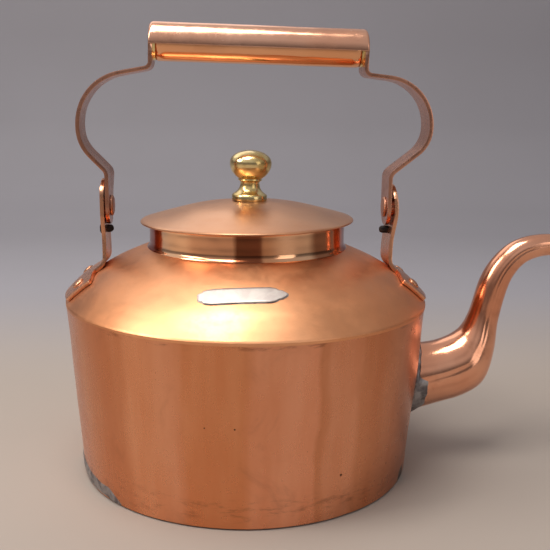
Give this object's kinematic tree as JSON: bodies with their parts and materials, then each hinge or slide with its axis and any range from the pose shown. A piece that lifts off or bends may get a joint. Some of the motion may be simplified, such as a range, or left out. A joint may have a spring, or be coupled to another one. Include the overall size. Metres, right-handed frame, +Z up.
{
  "type": "copper swan-neck kettle",
  "caption": "Hand-made copper kettle with a swan-neck spout, a swinging strap handle with a tubular grip, and a lift-off lid with a brass knob.",
  "frame": {"origin": "centre of the base, on the plane that the kettle stands on", "axes": "+X towards the spout, +Z up, +Y to the back when the spout points right"},
  "size_m": [0.3209, 0.216, 0.2644],
  "materials": {
    "body_copper": "aged satin copper",
    "polished_copper": "polished copper",
    "handle_copper": "hand-worn copper",
    "knob_brass": "polished brass, tarnished at the foot",
    "solder": "dull grey solder",
    "white_metal": "worn satin",
    "iron": "blackened"
  },
  "bodies": {
    "kettle": {"body_wall": "body_copper", "base_plate": "body_copper", "base_solder_bead": "solder", "shoulder": "body_copper", "shoulder_solder_bead": "solder", "neck_collar": "polished_copper", "neck_solder_bead": "solder", "side_seam_strip": "body_copper", "spout": "polished_copper", "spout_lip": "polished_copper", "spout_root_ring": "solder", "spout_root_patch": "solder", "base_edge_patch": "solder", "name_plate": "white_metal", "lug_rear": "handle_copper", "lug_front": "handle_copper", "foot_rivet_rear_near": "handle_copper", "foot_rivet_rear_far": "handle_copper", "foot_rivet_front_near": "handle_copper", "foot_rivet_front_far": "handle_copper", "pivot_rivet_rear": "handle_copper", "pivot_rivet_front": "handle_copper", "pivot_washer_rear": "handle_copper", "pivot_washer_front": "handle_copper", "stop_pin_rear": "iron", "stop_pin_front": "iron"},
    "bail": {"bail_strap": "handle_copper", "grip_tube": "polished_copper", "grip_braze_rear": "knob_brass", "grip_braze_front": "knob_brass"},
    "lid": {"lid_dome": "body_copper", "lid_skirt": "polished_copper", "knob": "knob_brass", "knob_stud": "knob_brass", "knob_washer": "handle_copper"}
  },
  "joints": [
    {"name": "bail_swing", "type": "hinge", "parent": "kettle", "child": "bail", "pos_m": [0, 0, 0.1586], "axis": [1, 0, 0], "range_deg": [-100, 100]},
    {"name": "lid_lift", "type": "slide", "parent": "kettle", "child": "lid", "axis": [0, 0, 1], "range_m": [0, 0.045]}
  ]
}
